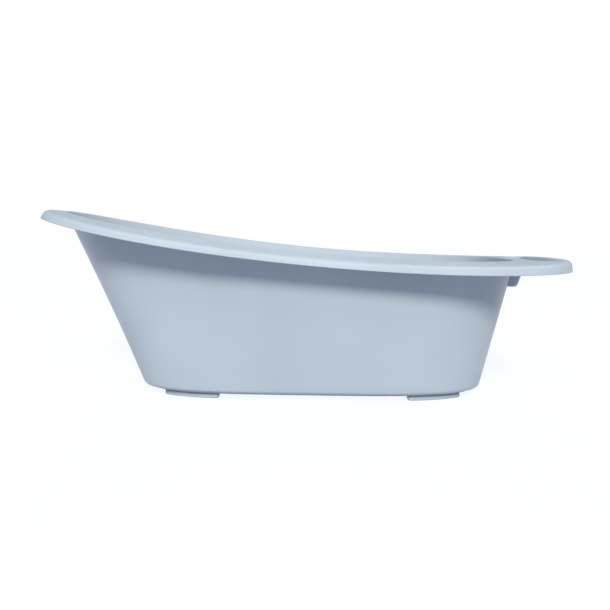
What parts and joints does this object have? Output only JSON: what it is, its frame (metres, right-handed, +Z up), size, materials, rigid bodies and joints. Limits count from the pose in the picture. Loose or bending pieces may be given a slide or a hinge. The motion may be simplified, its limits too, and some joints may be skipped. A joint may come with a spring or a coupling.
{
  "type": "baby bathtub",
  "caption": "Oval baby bathtub with a high head end, a rolled rim, a soap dish in the foot flange, soft feet and a screwed drain with a lift-out plug.",
  "frame": {"origin": "on the floor, under the middle of the tub's outline", "axes": "+X from the high head end to the low foot end, +Y across the tub, +Z up"},
  "size_m": [0.98, 0.5302, 0.326],
  "materials": {
    "tub_plastic": "glossy moulded light blue",
    "foot_rubber": "soft matt light blue",
    "drain_plastic": "satin off-white",
    "seal_rubber": "matt black",
    "plug_rubber": "soft off-white",
    "ring_plastic": "glossy moulded light blue"
  },
  "bodies": {
    "tub": {"tub_shell": "tub_plastic", "foot_head_left": "foot_rubber", "foot_head_right": "foot_rubber", "foot_foot_left": "foot_rubber", "foot_foot_right": "foot_rubber", "drain_body": "drain_plastic", "drain_gasket": "seal_rubber", "drain_nut": "drain_plastic"},
    "plug": {"drain_plug": "plug_rubber"},
    "ring": {"plug_ring": "ring_plastic"}
  },
  "joints": [
    {"name": "plug_lift", "type": "slide", "parent": "tub", "child": "plug", "axis": [0, 0, 1], "range_m": [0, 0.06]},
    {"name": "ring_flip", "type": "hinge", "parent": "plug", "child": "ring", "pos_m": [0.252, 0, 0.023], "axis": [0, -1, 0], "range_deg": [0, 180]}
  ]
}
